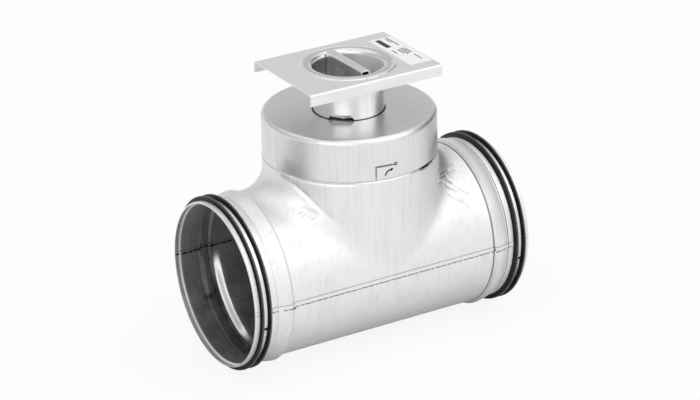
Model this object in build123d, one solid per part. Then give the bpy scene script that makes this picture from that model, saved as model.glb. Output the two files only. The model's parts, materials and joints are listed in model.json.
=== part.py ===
from build123d import *
import os

os.makedirs("parts", exist_ok=True)

# Regulating damper for round duct, all sizes in millimetres.
# The run of duct lies along X and the branch stands up along Z.

# Sheet and running clearances
SHEET = 1.0
FIT_GAP = 0.05
LOOSE_GAP = 0.3

# Run of duct and its two spigots, positions counted inwards from each end
DUCT_R = 80.0
HALF_LENGTH = 150.8
RIM_R = DUCT_R
RIM_WIDTH = 4.4
RIM_ROLL = 0.8
GROOVE_DEPTH = 1.6
GROOVE_R = RIM_R - GROOVE_DEPTH
GROOVE_END = 17.6
GROOVE_STEP = 1.0
COLLAR_STEP = 0.4
COLLAR_R = DUCT_R - COLLAR_STEP
RING_LINE = 23.6
RING_SLOPE = 0.5
BEAD_HEIGHT = 3.0
BEAD_START = 25.0
BEAD_CREST = 37.6
BEAD_BACK = 39.6
BEAD_SWELL = 0.6

# Lid over the branch, wider than the duct by the room that its bayonet needs
LID_SHEET = 0.9
LID_OVER_DUCT = 3.1
LID_R = DUCT_R + LID_OVER_DUCT
LID_SKIRT = 41.3
LID_EDGE = 104.2
LID_TOP = LID_EDGE + LID_SKIRT
LID_ROUND = 5.0

# Drawn branch: a slight cone up to the lid's edge, then a mouth inside the lid
BRANCH_FOOT_STEP = 0.7
BRANCH_FOOT_R = DUCT_R - BRANCH_FOOT_STEP
SHOULDER_OVER = 0.6
BRANCH_TOP_R = LID_R + SHOULDER_OVER
CROTCH_RADIUS = 26.0
SHOULDER_GAP = 0.6
SHOULDER_Z = LID_EDGE - SHOULDER_GAP
SHOULDER_ROUND = 1.3
MOUTH_GAP = 1.6
MOUTH_R = LID_R - LID_SHEET - MOUTH_GAP
SEAL_HEIGHT = 3.0
SEAL_WIDTH = 4.0
SEAL_OVER_MOUTH = 0.6
MOUTH_Z = LID_TOP - LID_SHEET - SEAL_HEIGHT

# Lapped seam between the two halves
LAP_TOP = 3.0
LAP_BOTTOM = -0.9
LAP_PROUD = 0.5

# Rubber gasket and its steel band
LIP_HEIGHT = 4.2
LIP_R = DUCT_R + LIP_HEIGHT
LIP_LAND = 1.0
OUTER_LIP = 6.5
INNER_LIP = 14.6
GASKET_BASE = 1.0
LIP_FOOT = 1.5
BAND_START = 9.0
BAND_END = 12.2
BAND_THICK = 1.0
BAND_GAP_DEG = 2.2
BAND_GAP_AT = -13.0

# Bayonet lugs on the branch and the bent slots in the lid
LUG_R = 0.6
LUG_HEIGHT = 13.3
LUG_Z = LID_EDGE + LUG_HEIGHT
LUG_PROUD = 0.5
LUG_ANGLES = (-90, 30, 150)
LID_TURN = 13.9
SLOT_EYE_R = 1.9

# Neck tube, its foot collar on the lid and the bearing cup
NECK_SHEET = 0.8
NECK_R = 33.8
NECK_ROLL = 4.4
NECK_RIM_R = 41.4
FOOT_COLLAR = 9.5
FOOT_COLLAR_TOP = LID_TOP + FOOT_COLLAR
NOTCH_ANGLE = -133.5
NOTCH_HEIGHT = 5.3
NOTCH_FOOT_HALF = 13.3
NOTCH_TOP_HALF = 8.6
CUP_SHEET = 1.2
CUP_SINK = 0.5
CUP_FLOOR = LID_TOP - CUP_SINK
CUP_TOP = FOOT_COLLAR_TOP - CUP_SINK

# Console plate and label
NECK_HEIGHT = 44.9
PLATE_TOP = LID_TOP + NECK_HEIGHT
PLATE_LENGTH = 142.0
PLATE_DEPTH = 106.0
PLATE_FLANGE = 11.0
PLATE_BEND = 1.8
PLATE_RING_IN = 42.0
PLATE_RING_OUT = 45.6
PLATE_RING_HEIGHT = 0.6
LABEL_LENGTH = 75.0
LABEL_THICK = 0.2
LABEL_EDGE = 1.2
LABEL_RING_GAP = 0.2
LABEL_WIDTH = PLATE_LENGTH / 2 - LABEL_EDGE - PLATE_RING_OUT - LABEL_RING_GAP

# Handle, spindle and bush
HANDLE_END_GAP = 1.0
HANDLE_LENGTH = 2 * (NECK_R - NECK_SHEET - HANDLE_END_GAP)
HANDLE_WIDTH = 9.2
HANDLE_SHEET = 1.2
HANDLE_PROUD = 2.6
HANDLE_TOP = PLATE_TOP + HANDLE_PROUD
HANDLE_CLEAR = 2.0
HANDLE_FOOT = FOOT_COLLAR_TOP + HANDLE_CLEAR
HANDLE_BEND = 1.8
SPINDLE_R = 5.0
SPINDLE_SHORT = 5.4
SPINDLE_TOP = HANDLE_TOP - SPINDLE_SHORT
SPINDLE_FOOT = -30.0
SPINDLE_COLLAR_R = 7.5
SPINDLE_COLLAR = 3.0
HANDLE_RIVET_UP = 6.0
HANDLE_RIVET_Z = HANDLE_FOOT + HANDLE_RIVET_UP
RIVET_R = 2.0
RIVET_HEAD_R = 3.6
RIVET_HEAD = 1.2
BUSH_R = 7.0
BUSH_FLANGE_R = 10.0
BUSH_FLANGE = 1.8
BUSH_LENGTH = 6.0
BUSH_FOOT = CUP_FLOOR - BUSH_LENGTH
WASHER_R = 9.5
WASHER_THICK = 1.0
SPRING_HEIGHT = 1.5
CLIP_R = 8.0
CLIP_THICK = 1.2
CLIP_GROOVE_R = 4.1

# Blade
BLADE_GAP = 2.5
BLADE_R = BRANCH_FOOT_R - BLADE_GAP
BLADE_THICK = 1.5
BLADE_DROP = 6.0
BLADE_TOP = BUSH_FOOT - BLADE_DROP
BLADE_CORNER = 10.0
BLADE_RIVETS = (112.0, 50.0, -12.0)
SPOT_FACE = 1.0

# The frame's origin lies on the duct axis, inside the outer lip of the left gasket
CENTRE_X = HALF_LENGTH - OUTER_LIP
BIG = 400.0


def turned(points, axis=Axis.Z, arc=360):
    outline = make_face(Polyline(*points, close=True))
    return revolve(Plane.XZ * outline, axis, arc)


def upright(radius, low, high):
    post = Cylinder(radius, high - low, align=(Align.CENTER, Align.CENTER, Align.MIN))
    return Pos(0, 0, low) * post


def slab(low, high):
    block = Box(BIG, BIG, high - low, align=(Align.CENTER, Align.CENTER, Align.MIN))
    return Pos(0, 0, low) * block


# Run of duct: a solid whose skin lies "inset" under the outside of the sheet
def half_run(side, inset, spigot_inset):
    def at(from_end, radius):
        return side * (HALF_LENGTH - from_end), -radius

    duct = DUCT_R - inset
    bead = duct + BEAD_HEIGHT
    mouth = RIM_R - RIM_ROLL - spigot_inset
    shoulder = (BEAD_CREST + BEAD_START) / 2
    swell = duct + BEAD_HEIGHT * BEAD_SWELL
    return [
        Polyline((0, -duct), at(BEAD_BACK, duct), at(BEAD_CREST, bead)),
        ThreePointArc(at(BEAD_CREST, bead), at(shoulder, swell), at(BEAD_START, duct)),
        Polyline(
            at(BEAD_START, duct),
            at(RING_LINE + RING_SLOPE, duct),
            at(RING_LINE, COLLAR_R - inset),
            at(GROOVE_END, COLLAR_R - inset),
            at(GROOVE_END - GROOVE_STEP, GROOVE_R - spigot_inset),
            at(RIM_WIDTH + GROOVE_STEP, GROOVE_R - spigot_inset),
            at(RIM_WIDTH, RIM_R - spigot_inset),
            at(RIM_ROLL, RIM_R - spigot_inset),
            at(0, mouth),
            at(-SHEET, mouth),
            at(-SHEET, 0),
        ),
    ]


def duct_run(inset, spigot_inset):
    closing = Line((-HALF_LENGTH - SHEET, 0), (HALF_LENGTH + SHEET, 0))
    outline = Curve() + half_run(1, inset, spigot_inset) + half_run(-1, inset, spigot_inset) + [closing]
    run = revolve(Plane.XZ * make_face(outline), Axis.X)
    length = 2 * (HALF_LENGTH + (SHEET if inset > 0 else 0))
    return run & Box(length, BIG, BIG)


# Tee with its drawn branch and rounded crotch, as a solid under the skin
def tee_solid(inset):
    shoulder = SHOULDER_Z - inset
    run = duct_run(inset, inset)
    cone = Cone(
        BRANCH_FOOT_R - inset,
        BRANCH_TOP_R - inset,
        shoulder - SHOULDER_ROUND,
        align=(Align.CENTER, Align.CENTER, Align.MIN),
    )
    joined = run + cone
    crotch = [e for e in joined.edges() if min(e.bounding_box().size) > DUCT_R / 3]
    rounded = fillet(crotch, CROTCH_RADIUS + inset)
    lip = Cone(
        BRANCH_TOP_R - inset,
        BRANCH_TOP_R - inset - SHOULDER_ROUND,
        SHOULDER_ROUND,
        align=(Align.CENTER, Align.CENTER, Align.MIN),
    )
    mouth = upright(MOUTH_R - inset, DUCT_R, MOUTH_Z + inset)
    return rounded + Pos(0, 0, shoulder - SHOULDER_ROUND) * lip + mouth


def lug_places():
    for angle in LUG_ANGLES:
        yield Rot(0, 0, angle) * Pos(0, 0, LUG_Z) * Rot(0, 90, 0)


def lug_pin(radius, inner, outer):
    pin = Cylinder(radius, outer - inner, align=(Align.CENTER, Align.CENTER, Align.MIN))
    return Pos(0, 0, inner) * pin


def bayonet_lugs():
    pin = lug_pin(LUG_R, MOUTH_R - SHEET + FIT_GAP, LID_R + LUG_PROUD)
    return [place * pin for place in lug_places()]


def shells():
    outside = tee_solid(0)
    inside = tee_solid(SHEET)
    wall = outside - inside
    for place in lug_places():
        wall -= place * lug_pin(LUG_R, MOUTH_R - 2 * SHEET, MOUTH_R + SHEET)
    middle = duct_run(SHEET / 2, SHEET / 2)
    proud = duct_run(-LAP_PROUD, 0)
    lap = slab(LAP_BOTTOM, LAP_TOP)
    upper = (wall & slab(LAP_TOP, BIG)) + ((proud - middle) & lap)
    lower = (wall & slab(-BIG, LAP_BOTTOM)) + (wall & middle & lap)
    return upper, lower


# Gasket ring and band for the right end; the left end is the same part turned round
def gasket():
    base = GROOVE_R + GASKET_BASE
    land = LIP_LAND / 2
    start = RIM_WIDTH + GROOVE_STEP + FIT_GAP
    end = GROOVE_END - GROOVE_STEP - FIT_GAP
    points = [
        (start, GROOVE_R),
        (start, base + LIP_FOOT / 3),
        (OUTER_LIP - land, LIP_R),
        (OUTER_LIP + land, LIP_R),
        (OUTER_LIP + land + LIP_FOOT, base + LIP_FOOT / 3),
        (BAND_START - FIT_GAP, base),
        (BAND_END + FIT_GAP, base),
        (INNER_LIP - land - LIP_FOOT, base + LIP_FOOT / 3),
        (INNER_LIP - land, LIP_R),
        (INNER_LIP + land, LIP_R),
        (end, base + LIP_FOOT / 3),
        (end, GROOVE_R),
    ]
    return turned([(HALF_LENGTH - s, -r) for s, r in points], Axis.X)


def gasket_band():
    base = GROOVE_R + GASKET_BASE
    low, high = HALF_LENGTH - BAND_END, HALF_LENGTH - BAND_START
    points = [(low, base), (high, base), (high, base + BAND_THICK), (low, base + BAND_THICK)]
    strip = turned(points, Axis.X, 360 - BAND_GAP_DEG)
    return Rot(90 - BAND_GAP_AT, 0, 0) * strip


# Lid: cap with a bent slot for every lug and a collar that locates the neck
def lid_hollow():
    inner = upright(LID_R - LID_SHEET, LID_EDGE - SHEET, LID_TOP - LID_SHEET)
    top = inner.edges().group_by(Axis.Z)[-1]
    return fillet(top, LID_ROUND - LID_SHEET)


def bent_slot():
    half = LUG_R + LOOSE_GAP
    low, high = MOUTH_R, LID_R + SHEET
    foot, head = LUG_Z - half, LUG_Z + half
    run = turned([(low, foot), (high, foot), (high, head), (low, head)], Axis.Z, LID_TURN)
    entry = Box(high - low, 2 * half, LUG_Z - LID_EDGE + SHEET, align=(Align.MIN, Align.CENTER, Align.MAX))
    corner = Pos(0, 0, LUG_Z) * Rot(0, 90, 0) * lug_pin(half, low, high)
    eye = Pos(0, 0, LUG_Z) * Rot(0, 90, 0) * lug_pin(SLOT_EYE_R, low, high)
    return run + Pos(low, 0, LUG_Z) * entry + corner + Rot(0, 0, LID_TURN) * eye


def lid():
    cap = upright(LID_R, LID_EDGE, LID_TOP)
    cap = fillet(cap.edges().group_by(Axis.Z)[-1], LID_ROUND)
    cap -= lid_hollow()
    collar_r = NECK_R - NECK_SHEET - FIT_GAP
    cap += upright(collar_r, LID_TOP - LID_SHEET, FOOT_COLLAR_TOP)
    cap -= upright(collar_r - LID_SHEET, LID_EDGE, BIG)
    slot = bent_slot()
    for angle in LUG_ANGLES:
        cap -= Rot(0, 0, angle - LID_TURN) * slot
    return cap - foot_notch(LID_TOP)


def lid_seal():
    ring_r = MOUTH_R + SEAL_OVER_MOUTH
    ring = upright(ring_r, MOUTH_Z, LID_TOP) - upright(ring_r - SEAL_WIDTH, MOUTH_Z, LID_TOP)
    return ring & lid_hollow()


# Notch through the foot of the neck, the lid's collar and the bearing cup
def foot_notch(low):
    notch = Polyline(
        (-NOTCH_FOOT_HALF, LID_TOP - SHEET),
        (-NOTCH_FOOT_HALF, LID_TOP),
        (-NOTCH_TOP_HALF, LID_TOP + NOTCH_HEIGHT),
        (NOTCH_TOP_HALF, LID_TOP + NOTCH_HEIGHT),
        (NOTCH_FOOT_HALF, LID_TOP),
        (NOTCH_FOOT_HALF, LID_TOP - SHEET),
        close=True,
    )
    cutter = extrude(Plane.YZ * make_face(notch), NECK_R + SHEET)
    return Rot(0, 0, NOTCH_ANGLE) * cutter & slab(low, BIG)


# Neck tube with its rolled rim
def neck_tube():
    inner = NECK_R - NECK_SHEET
    bend_r = NECK_R + NECK_ROLL
    bend_z = PLATE_TOP - NECK_ROLL
    rim = PLATE_TOP + NECK_SHEET
    outline = Curve() + [
        Line((inner, LID_TOP), (inner, bend_z)),
        CenterArc((bend_r, bend_z), NECK_ROLL + NECK_SHEET, 180, -90),
        Line((bend_r, rim), (NECK_RIM_R, rim)),
        Line((NECK_RIM_R, rim), (NECK_RIM_R, PLATE_TOP)),
        Line((NECK_RIM_R, PLATE_TOP), (bend_r, PLATE_TOP)),
        CenterArc((bend_r, bend_z), NECK_ROLL, 90, 90),
        Line((NECK_R, bend_z), (NECK_R, LID_TOP)),
        Line((NECK_R, LID_TOP), (inner, LID_TOP)),
    ]
    tube = revolve(Plane.XZ * make_face(outline), Axis.Z)
    return tube - foot_notch(LID_TOP - SHEET)


def bearing_cup():
    floor = CUP_FLOOR + CUP_SHEET
    outer = NECK_R - NECK_SHEET - LID_SHEET - 2 * FIT_GAP
    cup = upright(outer, CUP_FLOOR, CUP_TOP) - upright(outer - CUP_SHEET, floor, CUP_TOP)
    return cup - upright(BUSH_R, CUP_FLOOR, CUP_TOP) - foot_notch(floor)


def spindle_bush():
    flange = CUP_FLOOR + CUP_SHEET
    bush = upright(BUSH_R, BUSH_FOOT, flange) + upright(BUSH_FLANGE_R, flange, flange + BUSH_FLANGE)
    return bush - upright(SPINDLE_R + FIT_GAP, BUSH_FOOT, BIG)


# Console plate: front and back edges turned down, a low ring pressed round the hole
def channel(length, width, top, foot, sheet, bend):
    height = top - foot
    outer = Box(length, width, height, align=(Align.CENTER, Align.CENTER, Align.MAX))
    outer = fillet(outer.edges().filter_by(Axis.X).group_by(Axis.Z)[-1], bend)
    inner = Box(length, width - 2 * sheet, height - sheet, align=(Align.CENTER, Align.CENTER, Align.MAX))
    inner = fillet(inner.edges().filter_by(Axis.X).group_by(Axis.Z)[-1], bend - sheet)
    return Pos(0, 0, top) * (outer - Pos(0, 0, -sheet) * inner)


def console_plate():
    plate = channel(PLATE_LENGTH, PLATE_DEPTH, PLATE_TOP, PLATE_TOP - PLATE_FLANGE, SHEET, PLATE_BEND)
    slope = PLATE_RING_HEIGHT
    high = PLATE_TOP + PLATE_RING_HEIGHT
    plate += turned([
        (PLATE_RING_IN, PLATE_TOP),
        (PLATE_RING_IN + slope, high),
        (PLATE_RING_OUT - slope, high),
        (PLATE_RING_OUT, PLATE_TOP),
        (PLATE_RING_OUT, PLATE_TOP - SHEET / 2),
        (PLATE_RING_IN, PLATE_TOP - SHEET / 2),
    ])
    return plate - upright(NECK_R + NECK_ROLL + FIT_GAP, PLATE_TOP - SHEET, BIG)


def label():
    blank = Box(LABEL_WIDTH, LABEL_LENGTH, LABEL_THICK, align=(Align.MAX, Align.CENTER, Align.MIN))
    return Pos(PLATE_LENGTH / 2 - LABEL_EDGE, 0, PLATE_TOP) * blank


# Spindle line, from the handle down to the blade
def crosswise(radius, low, high, z):
    pin = Cylinder(radius, high - low, align=(Align.CENTER, Align.CENTER, Align.MIN))
    return Pos(low, 0, z) * Rot(0, 90, 0) * pin


def handle():
    bar = channel(HANDLE_LENGTH, HANDLE_WIDTH, HANDLE_TOP, HANDLE_FOOT, HANDLE_SHEET, HANDLE_BEND)
    return Rot(0, 0, 90) * bar - crosswise(RIVET_R, -BIG / 2, BIG / 2, HANDLE_RIVET_Z)


def handle_rivet():
    side = HANDLE_WIDTH / 2
    rivet = crosswise(RIVET_R, -side, side, HANDLE_RIVET_Z)
    rivet += crosswise(RIVET_HEAD_R, side, side + RIVET_HEAD, HANDLE_RIVET_Z)
    return rivet + crosswise(RIVET_HEAD_R, -side - RIVET_HEAD, -side, HANDLE_RIVET_Z)


def collar_foot():
    return CUP_FLOOR + CUP_SHEET + BUSH_FLANGE + WASHER_THICK


def spindle():
    flat = HANDLE_WIDTH / 2 - HANDLE_SHEET
    collar_top = collar_foot() + SPINDLE_COLLAR
    rod = upright(SPINDLE_R, SPINDLE_FOOT, SPINDLE_TOP)
    tongue = Box(2 * flat, BIG, BIG, align=(Align.CENTER, Align.CENTER, Align.MIN))
    rod -= slab(collar_top, BIG) - Pos(0, 0, collar_top) * tongue
    rod += upright(SPINDLE_COLLAR_R, collar_foot(), collar_top)
    blade_side = Box(BIG, BIG, BIG, align=(Align.MIN, Align.CENTER, Align.MAX))
    rod -= Pos(0, 0, BLADE_TOP + LOOSE_GAP) * blade_side
    clip_top = BUSH_FOOT - SPRING_HEIGHT
    groove = upright(SPINDLE_R + SHEET, clip_top - CLIP_THICK, clip_top)
    rod -= groove - upright(CLIP_GROOVE_R, SPINDLE_FOOT, BIG)
    rod -= crosswise(RIVET_R, -SPINDLE_R, SPINDLE_R, HANDLE_RIVET_Z)
    for z in BLADE_RIVETS:
        rod -= crosswise(RIVET_R, -SPINDLE_R, SPINDLE_R, z)
        rod -= crosswise(RIVET_HEAD_R + LOOSE_GAP, -2 * SPINDLE_R, SPOT_FACE - SPINDLE_R, z)
    return rod


def thrust_washer():
    low = collar_foot() - WASHER_THICK
    return upright(WASHER_R, low, low + WASHER_THICK) - upright(SPINDLE_R + FIT_GAP, low, BIG)


def spring_washer():
    bore = SPINDLE_R + FIT_GAP
    half = SPRING_HEIGHT / 2
    middle = (bore + WASHER_R) / 2
    return turned([
        (bore, BUSH_FOOT),
        (middle, BUSH_FOOT),
        (WASHER_R, BUSH_FOOT - half),
        (WASHER_R, BUSH_FOOT - SPRING_HEIGHT),
        (middle, BUSH_FOOT - SPRING_HEIGHT),
        (bore, BUSH_FOOT - half),
    ])


def retaining_ring():
    top = BUSH_FOOT - SPRING_HEIGHT
    ring = upright(CLIP_R, top - CLIP_THICK, top) - upright(CLIP_GROOVE_R, top - CLIP_THICK, top)
    mouth = Box(CLIP_R + SHEET, 1.6 * CLIP_GROOVE_R, CLIP_THICK, align=(Align.MIN, Align.CENTER, Align.MAX))
    return ring - Pos(0, 0, top) * mouth


def blade():
    sides = Rectangle(2 * BLADE_R, BLADE_TOP, align=(Align.CENTER, Align.MIN))
    sides = fillet(sides.vertices().group_by(Axis.Y)[-1], BLADE_CORNER)
    sheet = extrude(Plane.YZ * (sides + Circle(BLADE_R)), BLADE_THICK)
    for z in BLADE_RIVETS:
        sheet -= crosswise(RIVET_R, 0, BLADE_THICK, z)
    return sheet


def blade_rivets():
    back = SPOT_FACE - SPINDLE_R
    rivets = []
    for z in BLADE_RIVETS:
        rivet = crosswise(RIVET_R, back, BLADE_THICK, z)
        rivet += crosswise(RIVET_HEAD_R, BLADE_THICK, BLADE_THICK + RIVET_HEAD, z)
        rivets.append(rivet + crosswise(RIVET_HEAD_R, back - RIVET_HEAD, back, z))
    return rivets


def save(node, *solids):
    placed = [Pos(CENTRE_X, 0, 0) * solid for solid in solids]
    shape = placed[0] if len(placed) == 1 else Compound(children=placed)
    export_step(shape, "parts/" + node + ".step")


upper_shell, lower_shell = shells()
save("upper_shell", upper_shell)
save("lower_shell", lower_shell)
end_for_end = Rot(0, 0, 180)
save("right_gasket", gasket())
save("left_gasket", end_for_end * gasket())
save("right_gasket_band", gasket_band())
save("left_gasket_band", mirror(gasket_band(), Plane.YZ))
save("bayonet_lugs", *bayonet_lugs())
save("lid", lid())
save("lid_seal", lid_seal())
save("neck_tube", neck_tube())
save("bearing_cup", bearing_cup())
save("spindle_bush", spindle_bush())
save("console_plate", console_plate())
save("label", label())
save("handle", handle())
save("handle_rivet", handle_rivet())
save("spindle", spindle())
save("thrust_washer", thrust_washer())
save("spring_washer", spring_washer())
save("retaining_ring", retaining_ring())
save("blade", blade())
save("blade_rivets", *blade_rivets())
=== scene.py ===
import bpy
import bmesh
import json
import math
from mathutils import Matrix, Vector


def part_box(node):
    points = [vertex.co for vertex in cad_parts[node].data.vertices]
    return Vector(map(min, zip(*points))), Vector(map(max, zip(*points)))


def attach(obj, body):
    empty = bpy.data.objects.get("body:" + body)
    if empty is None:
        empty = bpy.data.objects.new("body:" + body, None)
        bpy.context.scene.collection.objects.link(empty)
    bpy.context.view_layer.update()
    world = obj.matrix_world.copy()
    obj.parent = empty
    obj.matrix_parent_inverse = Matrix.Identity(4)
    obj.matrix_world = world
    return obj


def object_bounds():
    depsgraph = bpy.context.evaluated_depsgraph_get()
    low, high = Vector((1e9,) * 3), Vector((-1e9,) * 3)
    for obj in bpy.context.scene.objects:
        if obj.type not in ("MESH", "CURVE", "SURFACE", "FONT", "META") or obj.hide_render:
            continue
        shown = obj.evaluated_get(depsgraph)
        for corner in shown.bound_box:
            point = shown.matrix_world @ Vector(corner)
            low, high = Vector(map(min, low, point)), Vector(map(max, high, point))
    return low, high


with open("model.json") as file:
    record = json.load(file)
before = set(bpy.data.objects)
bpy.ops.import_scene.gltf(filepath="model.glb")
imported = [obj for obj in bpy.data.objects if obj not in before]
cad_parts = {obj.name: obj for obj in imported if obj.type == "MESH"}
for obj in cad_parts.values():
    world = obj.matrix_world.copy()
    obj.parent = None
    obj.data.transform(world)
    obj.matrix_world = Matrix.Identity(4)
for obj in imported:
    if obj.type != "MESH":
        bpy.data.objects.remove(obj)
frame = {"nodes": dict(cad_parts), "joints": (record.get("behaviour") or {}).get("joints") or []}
cad_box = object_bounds()
nodes = frame["nodes"]

# Tee: two pressed halves of bright galvanised sheet, lapped along both sides and seam welded.
# The branch is drawn out of the upper half, which leaves upright streaks on it, a long crease at the
# left of the crotch and small wrinkles at the right. Painted shade darkens the inside of the run,
# with painted reflections on its far wall.
centre_x = frame["joints"][0]["pos_m"][0]
duct_r, half_length = 0.080, 0.1508
bead_start, bead_crest, bead_back, bead_height = 0.025, 0.0376, 0.0396, 0.003
cloud_share = 0.3
painted_shade_tone, mark_tone = 0.04, 0.015


def blank(name):
    material = bpy.data.materials.new(name)
    material.use_nodes = True
    tree = material.node_tree
    return material, tree, tree.nodes["Principled BSDF"]


def add(tree, kind, inputs, **settings):
    node = tree.nodes.new("ShaderNode" + kind)
    for key, value in settings.items():
        setattr(node, key, value)
    for key, value in inputs.items():
        if isinstance(value, bpy.types.NodeSocket):
            tree.links.new(value, node.inputs[key])
        else:
            node.inputs[key].default_value = value
    return node


def calc(tree, operation, *values, clamp=False):
    node = add(tree, "Math", dict(enumerate(values)), operation=operation, use_clamp=clamp)
    return node.outputs[0]


def vector_calc(tree, operation, inputs, result="Value"):
    return add(tree, "VectorMath", inputs, operation=operation).outputs[result]


def fade(tree, value, start, end, low=0.0, high=1.0, soft=False):
    inputs = {"Value": value, "From Min": start, "From Max": end, "To Min": low, "To Max": high}
    node = add(tree, "MapRange", inputs, interpolation_type="SMOOTHSTEP" if soft else "LINEAR")
    return node.outputs["Result"]


def near(tree, value, middle, half):
    return calc(tree, "COMPARE", value, middle, half)


def noise(tree, place, scale, detail, roughness=0.5):
    inputs = {"Vector": place, "Scale": scale, "Detail": detail, "Roughness": roughness}
    return add(tree, "TexNoise", inputs).outputs["Fac"]


def grey(value):
    return (value, value * 1.003, value * 1.008, 1)


def ramp(tree, factor, stops):
    node = add(tree, "ValToRGB", {"Fac": factor})
    elements = node.color_ramp.elements
    for element, (position, colour) in zip(elements, (stops[0], stops[-1])):
        element.position = position
        element.color = colour
    for position, colour in stops[1:-1]:
        elements.new(position).color = colour
    return node.outputs["Color"]


def blend(tree, share, first, second):
    return add(tree, "Mix", {0: share, 6: first, 7: second}, data_type="RGBA").outputs[2]


def relief(tree, height, strength, distance, under=None, sunk=False):
    inputs = {"Height": height, "Strength": strength, "Distance": distance}
    if under:
        inputs["Normal"] = under
    return add(tree, "Bump", inputs, invert=sunk).outputs["Normal"]


def from_centre(point):
    return Vector(point) * 0.001 + Vector((centre_x, 0, 0))


def line_mask(tree, place, points, width):
    nearest = None
    for a, b in zip(points, points[1:]):
        start, run = from_centre(a), (Vector(b) - Vector(a)) * 0.001
        offset = vector_calc(tree, "SUBTRACT", {0: place, 1: start}, "Vector")
        along = vector_calc(tree, "DOT_PRODUCT", {0: offset, 1: run / run.length_squared})
        held = add(tree, "Clamp", {"Value": along}).outputs["Result"]
        foot = vector_calc(tree, "SCALE", {0: run, "Scale": held}, "Vector")
        gap = vector_calc(tree, "DISTANCE", {0: offset, 1: foot})
        nearest = gap if nearest is None else calc(tree, "MINIMUM", nearest, gap)
    return fade(tree, nearest, width * 0.001, 0.0, soft=True)


def all_marks(tree, place, marks):
    total = 0.0
    for points, width, strength in marks:
        mask = line_mask(tree, place, points, width)
        total = calc(tree, "MULTIPLY_ADD", mask, strength, total, clamp=True)
    return total


def sheet_metal(name, tone, dull, bright, streaks, bump=0.05, marks=(), folds=(),
                shade=None, swell=None, matte=None):
    material, tree, surface = blank(name)
    place = add(tree, "TexCoord", {}).outputs["Object"]
    drawn = add(tree, "Mapping", {"Vector": place, "Scale": streaks}).outputs["Vector"]
    clouds = noise(tree, place, scale=26.0, detail=5.0, roughness=0.6)
    clouds = calc(tree, "MULTIPLY", clouds, cloud_share)
    lines = noise(tree, drawn, scale=1.0, detail=6.0, roughness=0.7)
    grain = calc(tree, "MULTIPLY_ADD", lines, 1 - cloud_share, clouds)
    stops = [(0.34, grey(tone * 0.9)), (0.5, grey(tone)), (0.66, grey(tone * 1.03))]
    colour = ramp(tree, grain, stops)
    shine = fade(tree, grain, 0.35, 0.65, low=dull, high=bright)
    fine = noise(tree, drawn, scale=6.0, detail=4.0)
    normal = relief(tree, fine, strength=bump, distance=0.0004)
    # The shade mask paints shade: it darkens the colour towards a dark grey.
    if shade:
        colour = blend(tree, shade(tree, place), colour, grey(painted_shade_tone))
    if swell:
        raised = swell(tree, place)
        normal = relief(tree, raised, strength=1.0, distance=0.008, under=normal)
    if folds:
        folded = all_marks(tree, place, folds)
        normal = relief(tree, folded, strength=1.0, distance=0.0015, under=normal, sunk=True)
    # The marks are wear, painted shade and painted reflections, darkened and sunk a little.
    if marks:
        wear_and_shade = all_marks(tree, place, marks)
        colour = blend(tree, wear_and_shade, colour, grey(mark_tone))
        normal = relief(tree, wear_and_shade, strength=0.5, distance=0.0012, under=normal, sunk=True)
    tree.links.new(colour, surface.inputs["Base Color"])
    tree.links.new(shine, surface.inputs["Roughness"])
    tree.links.new(normal, surface.inputs["Normal"])
    surface.inputs["Metallic"].default_value = 1.0
    if matte:
        bare = fade(tree, matte(tree, place), 0.0, 1.0, low=1.0, high=0.2)
        tree.links.new(bare, surface.inputs["Metallic"])
    return material


def wear(node, material):
    node.data.materials.clear()
    node.data.materials.append(material)


def radius_of(tree, **parts):
    cross = add(tree, "CombineXYZ", parts).outputs["Vector"]
    return vector_calc(tree, "LENGTH", {0: cross})


# Places along the run are counted from its middle, heights from its axis, both in metres.
# Painted light on the run: painted shade deepening inward from the rim and lighter under its roof, a
# painted reflection crescent behind each bead, painted shade inside the bead and on its steep side, a
# painted highlight on the collar's bend, and a painted shade line at the lap's top edge.
inner_skin = (duct_r - 0.00045, duct_r - 0.00065)
crescent_top, crescent_foot = (0.0, -0.034), (-0.0797, -0.07)
rim_edge, run_shade_share = (0.1452, 0.1436), 0.6
roof, roof_share = (-0.03, 0.05), 0.25
reflected_band, reflected_share = (0.0965, 0.1085), 0.9
bead_groove, groove_share = 0.001, 0.1
steep_side, steep_share = (0.1123, 0.0013), 0.3
bright_bend, bright_share = (0.1238, 0.0011), 0.28
lap_edge, lap_share = (0.0031, 0.0003), 0.42
run_out_end = 0.102


def run_place(tree, place):
    part = add(tree, "SeparateXYZ", {"Vector": place}).outputs
    along = calc(tree, "SUBTRACT", part["X"], centre_x)
    from_middle = calc(tree, "ABSOLUTE", along)
    crest = half_length - bead_crest
    rise = fade(tree, from_middle, half_length - bead_start, crest, high=bead_height)
    fall = fade(tree, from_middle, half_length - bead_back, crest, high=bead_height)
    bead = calc(tree, "MINIMUM", rise, fall)
    depth = calc(tree, "SUBTRACT", radius_of(tree, Y=part["Y"], Z=part["Z"]), bead)
    inside = fade(tree, depth, *inner_skin)
    return along, from_middle, bead, inside, part["Z"]


def low_crescent(tree, z):
    start = fade(tree, z, *crescent_top, soft=True)
    end = fade(tree, z, *crescent_foot, soft=True)
    return calc(tree, "MULTIPLY", start, end)


# Painted reflections: two lighter streaks on the wall inside the run.
# Each mark: points from the tee's centre and width, all in millimetres, then strength.
reflected_streaks = [
    ([(-121.0, 79.8, -9.8), (-120.7, 77.7, -20.8), (-121.1, 73.8, -31.9), (-121.9, 67.5, -43.1)],
     2.6, 0.4),
    ([(-125.5, 70.9, 34.9), (-122.1, 77.5, 20.0), (-120.8, 80.1, 7.1)], 2.0, 0.25),
]
# Each bend round the run carries a painted shade line: place along it, half width, strength.
bend_shade_lines = [(0.1106, 0.0008, 0.7), (0.1272, 0.0006, 0.8),
              (-0.1107, 0.0006, 0.25), (-0.1272, 0.0004, 0.15)]


# Painted shade mask for the drawn sheet, built from the settings above, the painted reflection
# streaks and the painted shade lines at the bends.
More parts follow.
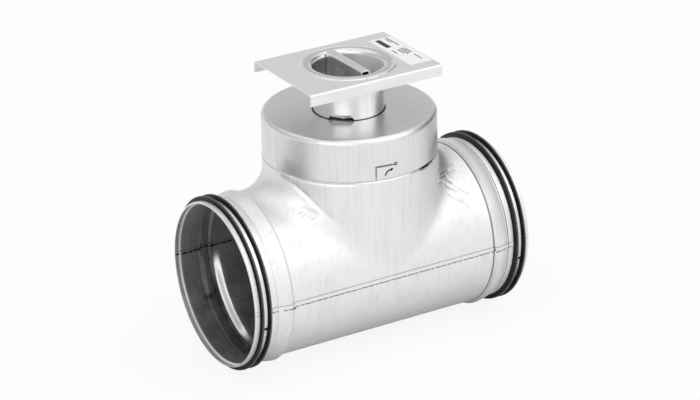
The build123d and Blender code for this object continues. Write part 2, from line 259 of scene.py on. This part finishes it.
def painted_run_shade(tree, place):
    along, from_middle, bead, inside, z = run_place(tree, place)
    dark = fade(tree, from_middle, *rim_edge, high=run_shade_share)
    dark = calc(tree, "MULTIPLY", dark, fade(tree, z, *roof, low=1.0, high=roof_share))
    mottle = noise(tree, place, scale=55.0, detail=5.0, roughness=0.6)
    mottle = fade(tree, mottle, 0.3, 0.7, low=0.7, high=1.2)
    dark = calc(tree, "MULTIPLY", dark, mottle)
    reflected = fade(tree, from_middle, *reflected_band, soft=True)
    before_bead = calc(tree, "LESS_THAN", from_middle, half_length - bead_back)
    reflected = calc(tree, "MULTIPLY", reflected, before_bead)
    reflected = calc(tree, "MULTIPLY", reflected, low_crescent(tree, z))
    dark = calc(tree, "MULTIPLY_ADD", reflected, -reflected_share, dark, clamp=True)
    dark = calc(tree, "ADD", dark, fade(tree, bead, 0.0, bead_groove, high=groove_share))
    steep = near(tree, from_middle, *steep_side)
    dark = calc(tree, "MULTIPLY_ADD", steep, steep_share, dark, clamp=True)
    for points, width, strength in reflected_streaks:
        streak = line_mask(tree, place, points, width)
        dark = calc(tree, "MULTIPLY_ADD", streak, -strength, dark, clamp=True)
    bend = near(tree, from_middle, *bright_bend)
    dark = calc(tree, "MULTIPLY_ADD", bend, -bright_share, dark, clamp=True)
    dark = calc(tree, "MULTIPLY", dark, inside)
    for middle, half, strength in bend_shade_lines:
        dark = calc(tree, "MULTIPLY_ADD", near(tree, along, middle, half), strength, dark)
    return calc(tree, "MULTIPLY_ADD", near(tree, z, *lap_edge), lap_share, dark)


def bead_run_out(tree, place):
    along, from_middle, bead, inside, z = run_place(tree, place)
    slope = fade(tree, from_middle, half_length - bead_back, run_out_end, soft=True)
    low = calc(tree, "MULTIPLY", low_crescent(tree, z), inside)
    return calc(tree, "MULTIPLY", slope, low)


def on_circle(radius, z, *angles):
    turns = [math.radians(a) for a in angles]
    return [(radius * math.cos(a), radius * math.sin(a), z) for a in turns]


def under_lid(z, *angles):
    return on_circle(shoulder_r, z, *angles)


shoulder_r = 83.4
crease = [(-81.7, -15.3, 100.2), (-76.7, -30.8, 96.5), (-71.2, -41.6, 89.1),
          (-65.0, -50.2, 79.4), (-56.6, -59.2, 68.5), (-50.0, -64.0, 60.0)]
wrinkles = [
    ([(72.1, -45.5, 75.9), (79.0, -41.5, 75.4), (86.2, -36.8, 73.8)], 0.4),
    ([(70.4, -48.1, 73.1), (80.4, -42.7, 71.3)], 0.45),
    ([(66.0, -52.4, 70.5), (73.0, -48.5, 69.1)], 0.4),
    ([(87.3, -33.7, 75.9), (97.3, -29.8, 74.7)], 0.2),
    ([(85.2, -39.8, 71.7), (95.0, -36.3, 71.5)], 0.2),
    ([(81.5, -45.4, 67.7), (85.0, -47.3, 64.9)], 0.3),
    ([(77.1, -49.4, 65.0), (85.2, -54.3, 58.7)], 0.16),
    ([(85.5, -50.9, 61.7), (96.2, -57.6, 55.5)], 0.16),
    ([(76.4, -56.1, 57.2), (87.3, -62.5, 49.9)], 0.1),
    ([(87.0, -60.2, 52.7), (92.4, -66.2, 44.8)], 0.08),
]
scratches = [
    [(-81.6, -41.8, 71.0), (-76.1, -43.0, 73.6)],
    [(-79.5, -44.5, 69.2), (-73.2, -46.2, 71.7)],
    [(-76.3, -47.1, 67.7), (-71.0, -48.7, 69.8)],
    [(-72.9, -49.6, 66.5), (-68.0, -51.0, 68.8)],
]
crotch_shadow = [(90.0, -12.0, 84.5), (84.0, -28.8, 81.9), (76.0, -42.0, 77.0)]
inside_spot = [(-126.5, 64.8, -45.1), (-120.5, 66.0, -46.1)]
rim_breaks = [
    ([(-149.5, 70.6, 36.5), (-146.8, 72.8, 31.0)], 1.1, 0.6),
    ([(-150.6, 62.6, -47.0), (-149.8, 60.5, -50.5)], 1.1, 0.6),
    ([(-149.6, -4.5, -78.8), (-149.2, -11.0, -78.2)], 1.1, 0.5),
    ([(-150.4, -79.2, -0.6), (-146.6, -79.9, -1.2)], 0.9, 0.6),
]
# Painted shade in the gap under the lid's edge, on the shoulder of the branch.
shade_under_lid = [
    (under_lid(103.2, -77, -68, -58, -48, -38), 1.6, 0.5),
    (under_lid(102.5, -69, -62, -54), 2.6, 0.5),
    (under_lid(102.0, -66, -60), 3.2, 0.35),
    (under_lid(103.6, -38, -24, -12, 0), 1.6, 0.9),
]
dents = [
    ([(-92.0, -30.0, 84.0), (-84.0, -42.0, 77.0), (-72.0, -50.0, 70.0)], 8.0, 1.0),
    ([(-100.5, -60.9, 51.8), (-76.9, -54.0, 59.4)], 3.0, 0.35),
    ([(-91.7, -62.3, 50.1), (-69.4, -53.9, 62.1)], 3.0, 0.35),
    (under_lid(104.0, -160, -150, -140, -130, -118), 4.5, 0.9),
]
# Marks darkened into the drawn sheet: painted shade along the wrinkles and the crease, wear along the
# scratches, painted shade in the crotch and under the lid's edge, and dark spots inside the run and
# on its rim.
marks_and_painted_shade = [(points, 1.4, strength) for points, strength in wrinkles]
marks_and_painted_shade += [(crease[:5], 2.8, 0.12), (crease[:4], 2.6, 0.1), (crease[:3], 2.4, 0.16)]
marks_and_painted_shade += [(points, 1.0, 0.28) for points in scratches]
marks_and_painted_shade += [(crotch_shadow, 13.0, 0.42), (inside_spot, 5.0, 0.55)]
marks_and_painted_shade += rim_breaks + shade_under_lid
press_folds = [(points, 3.6, 0.22) for points, strength in wrinkles]
press_folds += [(crease[:count], 6.0, 0.25) for count in (6, 5, 4, 3)]
press_folds += dents
drawn_sheet = sheet_metal("drawn_galvanised_sheet", tone=0.87, dull=0.5, bright=0.42,
                          streaks=(260, 260, 6), marks=marks_and_painted_shade, folds=press_folds,
                          shade=painted_run_shade, swell=bead_run_out)
wear(nodes["upper_shell"], drawn_sheet)
wear(nodes["lower_shell"], drawn_sheet)

# Weld lines: the seam welder's pulses, rows of small dark dashes of burnt zinc along the lower edge
# of each lap, dark enough to stand also for the painted shade under the lap's edge. They follow the
# run over its stop beads, outside and inside the sheet on both sides, and stand a quarter of a
# millimetre proud of it.
rim_end, groove_end = 0.0044, 0.0176
collar_step, groove_depth, bead_round = 0.0004, 0.0016, 0.4
dash_pitch, dash_half, dash_high, dash_proud = 0.0062, 0.0044, 0.0009, 0.00025
dash_vary, dash_beat = 0.25, 2.4
outside_z, outside_reach = -0.0012, 0.1325
inside_z, inside_reach, inside_depth = 0.0002, 0.147, 0.0011
slope_step = 0.0005
weld_scale_and_shade = sheet_metal("weld_scale_and_shade", tone=0.035, dull=0.6, bright=0.45, streaks=(400, 60, 400))


def run_radius(x):
    from_end = half_length - abs(x)
    if from_end > bead_back:
        return duct_r
    if from_end > bead_crest:
        return duct_r + bead_height * (bead_back - from_end) / (bead_back - bead_crest)
    if from_end > bead_start:
        t = (from_end - bead_start) / (bead_crest - bead_start)
        return duct_r + bead_height * t * (1 + bead_round - bead_round * t)
    if from_end > groove_end:
        return duct_r - collar_step
    return duct_r - groove_depth if from_end > rim_end else duct_r


def new_piece(name, mesh, material, body):
    piece = bpy.data.objects.new(name, mesh)
    bpy.context.scene.collection.objects.link(piece)
    mesh.materials.append(material)
    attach(piece, body)


def finished_mesh(bm, name, smooth=True):
    mesh = bpy.data.meshes.new(name)
    bm.to_mesh(mesh)
    if smooth:
        mesh.shade_smooth()
    return mesh


def weld_row(name, side, inward, z, reach):
    bm = bmesh.new()
    for i in range(int(2 * reach / dash_pitch) + 1):
        x = -reach + i * dash_pitch
        radius = run_radius(x) - inward
        y = side * math.sqrt(radius ** 2 - z ** 2)
        slope = (run_radius(x + slope_step) - run_radius(x - slope_step)) / (2 * slope_step)
        length = dash_half * (1 - dash_vary + dash_vary * math.sin(i * dash_beat))
        turn = Matrix.Rotation(side * math.atan(slope), 4, "Z")
        size = Matrix.Diagonal((length, dash_proud, dash_high, 1))
        place = Matrix.Translation((centre_x + x, y, z)) @ turn @ size
        bmesh.ops.create_uvsphere(bm, u_segments=10, v_segments=6, radius=1, matrix=place)
    new_piece(name, finished_mesh(bm, name), weld_scale_and_shade, "tee")


for side, where in ((-1, "near"), (1, "far")):
    weld_row("weld_outside_" + where, side, 0.0, outside_z, outside_reach)
    weld_row("weld_inside_" + where, side, inside_depth, inside_z, inside_reach)

# Gaskets: moulded rings of black rubber with two soft lips, one on each spigot.
# Each lies in the groove of the sheet, and a painted grey highlight lies on the crests of its lips.
lip_r, sheen_depth, sheen_share, sheen_tone = 0.0842, 0.0011, 0.7, 0.35


def rubber(name, tone, crest=None):
    material, tree, surface = blank(name)
    place = add(tree, "TexCoord", {}).outputs["Object"]
    dust = noise(tree, place, scale=90.0, detail=6.0, roughness=0.65)
    colour = ramp(tree, dust, [(0.35, grey(tone * 0.7)), (0.7, grey(tone * 1.8))])
    # Painted highlight: grey along the crests of the lips.
    if crest:
        part = add(tree, "SeparateXYZ", {"Vector": place}).outputs
        radius = radius_of(tree, Y=part["Y"], Z=part["Z"])
        sheen = fade(tree, radius, crest - sheen_depth, crest, high=sheen_share)
        sheen = calc(tree, "MULTIPLY", sheen, dust)
        colour = blend(tree, sheen, colour, grey(sheen_tone))
    shine = fade(tree, dust, 0.0, 1.0, low=0.34, high=0.6)
    fine = noise(tree, place, scale=1500.0, detail=3.0)
    normal = relief(tree, fine, strength=0.15, distance=0.0002)
    tree.links.new(colour, surface.inputs["Base Color"])
    tree.links.new(shine, surface.inputs["Roughness"])
    tree.links.new(normal, surface.inputs["Normal"])
    surface.inputs["Specular IOR Level"].default_value = 0.25
    return material


gasket_rubber = rubber("gasket_rubber", tone=0.009, crest=lip_r)
for name in ("left_gasket", "right_gasket"):
    wear(nodes[name], gasket_rubber)

# Bands and lugs: bright plated steel. The bands are strips strapped round the gaskets between their
# lips, with a small gap at the ends. The three lugs are set in holes near the mouth of the branch.
bright_steel = sheet_metal("bright_steel", tone=0.84, dull=0.36, bright=0.24,
                           streaks=(300, 40, 40), bump=0.03)
for name in ("left_gasket_band", "right_gasket_band", "bayonet_lugs"):
    wear(nodes[name], bright_steel)

# Lid: a cap drawn from galvanised sheet, with fine upright streaks and a painted dark reflection
# on its skirt.
# It turns on the bayonet lugs, and a ring of soft rubber inside seals it on the rim of the branch.
# A painted shade line lies on its top round the neck's foot.
foot_r, foot_half, lid_top, top_half = 0.0343, 0.0008, 0.1455, 0.0006
# Painted dark reflection on the skirt.
skirt_reflection = [(-80.3, -21.2, 113.0), (-78.1, -28.3, 109.0)]


def branch_place(tree, place):
    part = add(tree, "SeparateXYZ", {"Vector": place}).outputs
    along = calc(tree, "SUBTRACT", part["X"], centre_x)
    return along, radius_of(tree, X=along, Y=part["Y"]), part["Z"]


# Painted shade: a dark ring round the neck's foot, on the lid's top and on the neck.
def foot_shade_line(tree, place):
    along, radius, z = branch_place(tree, place)
    ring = near(tree, radius, foot_r, foot_half)
    return calc(tree, "MULTIPLY", ring, near(tree, z, lid_top, top_half))


lid_sheet = sheet_metal("lid_sheet", tone=0.82, dull=0.36, bright=0.28, streaks=(300, 300, 4),
                        bump=0.02, marks=[(skirt_reflection, 9.0, 0.12)], shade=foot_shade_line)
wear(nodes["lid"], lid_sheet)
wear(nodes["lid_seal"], rubber("seal_rubber", tone=0.035))

# Turning arrows: a small curved arrow stamped in the sheet of the lid's skirt beside every slot.
# The die raises its tail as a low ridge and its head as a low point; both are coloured dark as
# painted shade.
skirt_r = 0.0831
stamp_half, stamp_proud, stamp_edge = 0.0008, 0.00014, -0.00002
arrow_steps, tail_width, tail_widen = 12, 0.6, 4
# Points on the skirt: angle round the lid in degrees, height in metres.
arrow_start, arrow_bend, arrow_end = (-97.5, 0.1072), (-97.0, 0.1124), (-93.4, 0.1126)
arrow_head, head_middle = [(-93.8, 0.1108), (-93.6, 0.1146), (-91.3, 0.1131)], (-93.0, 0.11235)
# The arrows' dark colour is painted shade.
stamped_shade = sheet_metal("stamped_shade", tone=0.02, dull=0.7, bright=0.55, streaks=(300, 300, 300))


def on_skirt(angle, z, proud):
    a = math.radians(angle)
    radius = skirt_r + proud
    return Vector((centre_x + radius * math.cos(a), radius * math.sin(a), z))


def bent(t, start, bend, end):
    return start * (1 - t) ** 2 + bend * 2 * t * (1 - t) + end * t ** 2


def bent_slope(t, start, bend, end):
    return 2 * (1 - t) * (bend - start) + 2 * t * (end - bend)


def turning_arrow(name, turn):
    angles, heights = zip(arrow_start, arrow_bend, arrow_end)
    bm = bmesh.new()
    rows = []
    for i in range(arrow_steps + 1):
        t = i / arrow_steps
        angle, z = bent(t, *angles), bent(t, *heights)
        sideways = math.radians(bent_slope(t, *angles)) * skirt_r
        heading = math.atan2(bent_slope(t, *heights), sideways)
        half = stamp_half * (tail_width + (1 - tail_width) * min(1, tail_widen * t))
        across_z = half * math.cos(heading)
        across_a = math.degrees(-half * math.sin(heading) / skirt_r)
        ridge = ((-1, stamp_edge), (0, stamp_proud), (1, stamp_edge))
        rows.append([bm.verts.new(on_skirt(angle + turn + k * across_a, z + k * across_z, proud))
                     for k, proud in ridge])
    for a, b in zip(rows, rows[1:]):
        for k in (0, 1):
            bm.faces.new((a[k], b[k], b[k + 1], a[k + 1]))
    middle = bm.verts.new(on_skirt(head_middle[0] + turn, head_middle[1], 2 * stamp_proud))
    corners = [bm.verts.new(on_skirt(a + turn, z, stamp_edge)) for a, z in arrow_head]
    for k in range(3):
        bm.faces.new((corners[k], corners[(k + 1) % 3], middle))
    bmesh.ops.recalc_face_normals(bm, faces=bm.faces)
    new_piece(name, finished_mesh(bm, name), stamped_shade, "lid")


for number, turn in enumerate((0, 120, 240)):
    turning_arrow("turning_arrow_%d" % number, turn)

# Neck: a rolled tube of bright sheet that carries the console plate, notched at its foot.
# The bearing cup pressed into it holds the plastic bush, and painted shade darkens it behind the
# notch. A painted shade line lies round the neck's foot.
# The wall inside the neck is duller at the right.
wall_r, wall_fade = 0.0335, 0.0003
dull_from, dull_to = 0.0, 0.026
cup_r, cup_z, cup_shadow_width, cup_shadow_strength = 33, 146.0, 7.0, 3.0


def dull_wall(tree, place):
    along, radius, z = branch_place(tree, place)
    wall = fade(tree, radius, wall_r, wall_r - wall_fade)
    return calc(tree, "MULTIPLY", wall, fade(tree, along, dull_from, dull_to))


neck_sheet = sheet_metal("neck_sheet", tone=0.84, dull=0.28, bright=0.18, streaks=(300, 300, 8),
                         shade=foot_shade_line, matte=dull_wall)
wear(nodes["neck_tube"], neck_sheet)
# Painted shade inside the cup behind the notch, in two parts with a lighter gap between.
cup_shadow_marks = [(on_circle(cup_r, cup_z, *angles), cup_shadow_width, cup_shadow_strength)
             for angles in ((-160, -150, -140), (-122, -114, -105))]
cup_sheet = sheet_metal("cup_sheet", tone=0.92, dull=0.4, bright=0.3, streaks=(160, 160, 8),
                        marks=cup_shadow_marks)
wear(nodes["bearing_cup"], cup_sheet)
bush_plastic = rubber("bush_plastic", tone=0.08)
for name in ("spindle_bush", "thrust_washer"):
    wear(nodes[name], bush_plastic)

# Console plate: folded galvanised sheet with a low ring pressed round the hand hole.
# The neck's rim is rolled over it. A few small dents lie along the foot of the ring, where the press
# held the plate, and a dark arc of painted shade lies along the same foot.
ring_foot, plate_top = 45.6, 190.4
plate_marks = [(on_circle(ring_foot, plate_top, a, a + 2), 1.1, 0.35) for a in (-99, -80, 74, 125)]
# Painted shade: a dark arc along the ring's foot.
plate_marks.append((on_circle(ring_foot, plate_top, -66, -57, -48, -38), 0.7, 0.5))
plate_sheet = sheet_metal("plate_sheet", tone=0.9, dull=0.5, bright=0.42, streaks=(12, 260, 260),
                          marks=plate_marks)
wear(nodes["console_plate"], plate_sheet)

# Label: white plastic film stuck to the plate at the right of the hand hole.
# It is ruled in black ink with one bar and a few short lines.
label_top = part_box("label")[1][2]
rule_thick, rule_bevel = 0.00004, 0.000015
rough_spread = 0.06
# Each rule: place from the middle along and across the plate, width, length, in millimetres.
rules = [(53.0, 23.0, 5.4, 22.0), (64.2, 24.5, 1.3, 24.0), (61.6, 28.0, 1.1, 12.0),
         (64.4, -3.0, 1.2, 13.0), (61.8, -3.0, 1.2, 16.0), (59.2, -4.0, 1.2, 16.0),
         (56.6, -3.0, 1.2, 12.0), (51.0, -1.0, 1.2, 10.0), (63.4, -22.0, 1.2, 14.0)]


def film(name, tone, rough):
    material, tree, surface = blank(name)
    place = add(tree, "TexCoord", {}).outputs["Object"]
    dust = noise(tree, place, scale=260.0, detail=4.0, roughness=0.6)
    colour = ramp(tree, dust, [(0.3, grey(tone * 0.94)), (0.7, grey(tone))])
    shine = fade(tree, dust, 0.0, 1.0, low=rough - rough_spread, high=rough + rough_spread)
    tree.links.new(colour, surface.inputs["Base Color"])
    tree.links.new(shine, surface.inputs["Roughness"])
    return material


wear(nodes["label"], film("label_film", tone=0.95, rough=0.42))
bm = bmesh.new()
for x, y, wide, long in rules:
    middle = from_centre((x, y, 0)) + Vector((0, 0, label_top))
    size = Matrix.Diagonal((wide * 0.001, long * 0.001, rule_thick, 1))
    bmesh.ops.create_cube(bm, size=1, matrix=Matrix.Translation(middle) @ size)
bmesh.ops.bevel(bm, geom=bm.edges, offset=rule_bevel, segments=1, affect="EDGES")
rule_mesh = finished_mesh(bm, "label_rules", smooth=False)
label_ink = film("label_ink", tone=0.02, rough=0.5)
new_piece("label_rules", rule_mesh, label_ink, "lid")

# Handle, spindle and blade: a handle folded from sheet and riveted across a turned steel spindle.
# The flat sheet blade is riveted to the spindle's other end, inside the run of duct.
# Two washers and a retaining ring hold the spindle in its bush.
handle_sheet = sheet_metal("handle_sheet", tone=0.84, dull=0.42, bright=0.3, streaks=(120, 12, 120))
wear(nodes["handle"], handle_sheet)
blade_sheet = sheet_metal("blade_sheet", tone=0.7, dull=0.42, bright=0.32, streaks=(120, 120, 10))
wear(nodes["blade"], blade_sheet)
for name in ("handle_rivet", "spindle", "spring_washer", "retaining_ring", "blade_rivets"):
    wear(nodes[name], bright_steel)

# Floor: a wide pale sheet under the object that keeps its shadow. The camera sees it nearly white.
# In the metal's reflections a painted shadow darkens it beneath the run, and it is painted darker at
# the right in place of a studio flag.
floor_z, floor_half, floor_tone = cad_box[0][2], 8, 0.9
seen_white, mirrored_white, flag_tone = 0.88, 0.06, 0.1
right_way, right_band, right_dark = (0.912, 0.41, 0), (0.42, 0.8), 0.3
beneath_y, beneath_band, shadow_beneath_dark = 0.05, (0.2, 0.05), 0.5


def plain(value):
    return (value, value, value, 1)


corners = [(x * floor_half, y * floor_half, floor_z) for x, y in ((-1, -1), (1, -1), (1, 1), (-1, 1))]
floor_mesh = bpy.data.meshes.new("floor")
floor_mesh.from_pydata(corners, [], [(0, 1, 2, 3)])
floor = bpy.data.objects.new("floor", floor_mesh)
bpy.context.scene.collection.objects.link(floor)
material, tree = blank("pale_floor")[:2]
path = add(tree, "LightPath", {}).outputs
mirrored = calc(tree, "MULTIPLY", path["Is Glossy Ray"], mirrored_white)
share = calc(tree, "MULTIPLY_ADD", path["Is Camera Ray"], seen_white, mirrored)
pale = add(tree, "BsdfDiffuse", {"Color": plain(floor_tone)}).outputs[0]
white = add(tree, "Emission", {"Color": plain(1), "Strength": 1.0}).outputs[0]
lit = add(tree, "MixShader", {0: share, 1: pale, 2: white}).outputs[0]
# Painted shade seen only in reflections: a dark band at the right and a painted shadow beneath the
# run.
place = add(tree, "TexCoord", {}).outputs["Object"]
sideways = vector_calc(tree, "DOT_PRODUCT", {0: place, 1: right_way})
reflected_shade = fade(tree, sideways, *right_band, high=right_dark, soft=True)
across = add(tree, "SeparateXYZ", {"Vector": place}).outputs["Y"]
from_run = calc(tree, "ABSOLUTE", calc(tree, "SUBTRACT", across, beneath_y))
shadow_beneath = fade(tree, from_run, *beneath_band, high=shadow_beneath_dark, soft=True)
reflected_shade = calc(tree, "MAXIMUM", reflected_shade, shadow_beneath)
reflected_shade = calc(tree, "MULTIPLY", reflected_shade, path["Is Glossy Ray"])
unlit = add(tree, "Emission", {"Color": plain(flag_tone)}).outputs[0]
mixed = add(tree, "MixShader", {0: reflected_shade, 1: lit, 2: unlit}).outputs[0]
tree.links.new(mixed, tree.nodes["Material Output"].inputs["Surface"])
floor_mesh.materials.append(material)

# Sky and lamps: a soft white room, grey at half height behind the object and darker at its right.
# Two large lamps light it, one over its right and one beside the camera.
sky_heights = [(0.0, 1.0), (0.1, 0.95), (0.28, 0.5), (0.58, 0.58), (0.76, 0.95), (1.0, 1.0)]
front_band, front_white = (0.1, -0.6), 0.85
flag_band, flag_share = (0.74, 0.94), 0.9
lamp_aim = (0.14, 0.0, 0.05)
world = bpy.data.worlds.new("studio")
bpy.context.scene.world = world
world.use_nodes = True
tree = world.node_tree
toward = add(tree, "TexCoord", {}).outputs["Generated"]
heading = add(tree, "SeparateXYZ", {"Vector": toward}).outputs
sky = ramp(tree, heading["Z"], [(height, plain(value)) for height, value in sky_heights])
front = fade(tree, heading["Y"], *front_band, high=front_white, soft=True)
right_flag = fade(tree, heading["X"], *flag_band, high=flag_share)
seen = add(tree, "LightPath", {}).outputs["Is Camera Ray"]
sky = blend(tree, front, sky, plain(1))
sky = blend(tree, right_flag, sky, plain(flag_tone))
sky = blend(tree, seen, sky, plain(1))
tree.links.new(sky, tree.nodes["Background"].inputs["Color"])


def lamp(name, place, size, power):
    light = bpy.data.lights.new(name, "AREA")
    light.shape = "RECTANGLE"
    light.size, light.size_y = size
    light.energy = power
    holder = bpy.data.objects.new(name, light)
    bpy.context.scene.collection.objects.link(holder)
    holder.location = place
    aim = Vector(lamp_aim) - Vector(place)
    holder.rotation_euler = aim.to_track_quat("-Z", "Y").to_euler()


lamp("over_right", place=(1.1, -1.5, 2.0), size=(2.6, 3.0), power=12)
lamp("beside_camera", place=(-1.9, -1.6, 1.2), size=(2.2, 2.0), power=9)

# Camera: a long lens a little above the object and to its left, rolled by about one degree.
# Its lens and shift are worked out from a picture 700 by 400 points in size.
azimuth, elevation, roll = (math.radians(v) for v in (-30.45, 23.66, -1.31))
distance, focal_px, middle_x, middle_y = 2.77243, 2908.0, 350.66, 190.5
picture_wide, picture_high, sensor = 700, 400, 36
aim_height = 0.06
back = Vector((math.sin(azimuth) * math.cos(elevation),
               -math.cos(azimuth) * math.cos(elevation),
               math.sin(elevation)))
level = Vector((math.cos(azimuth), math.sin(azimuth), 0))
raised = back.cross(level)
right = level * math.cos(roll) + raised * math.sin(roll)
up = raised * math.cos(roll) - level * math.sin(roll)
camera_data = bpy.data.cameras.new("camera")
camera_data.sensor_width = sensor
camera_data.lens = focal_px * sensor / picture_wide
camera_data.shift_x = (picture_wide / 2 - middle_x) / picture_wide
camera_data.shift_y = (middle_y - picture_high / 2) / picture_wide
camera = bpy.data.objects.new("camera", camera_data)
bpy.context.scene.collection.objects.link(camera)
camera.matrix_world = Matrix((right, up, back)).transposed().to_4x4()
camera.location = Vector((centre_x, 0, aim_height)) + back * distance
bpy.context.scene.camera = camera
bpy.context.scene.view_settings.view_transform = "Standard"
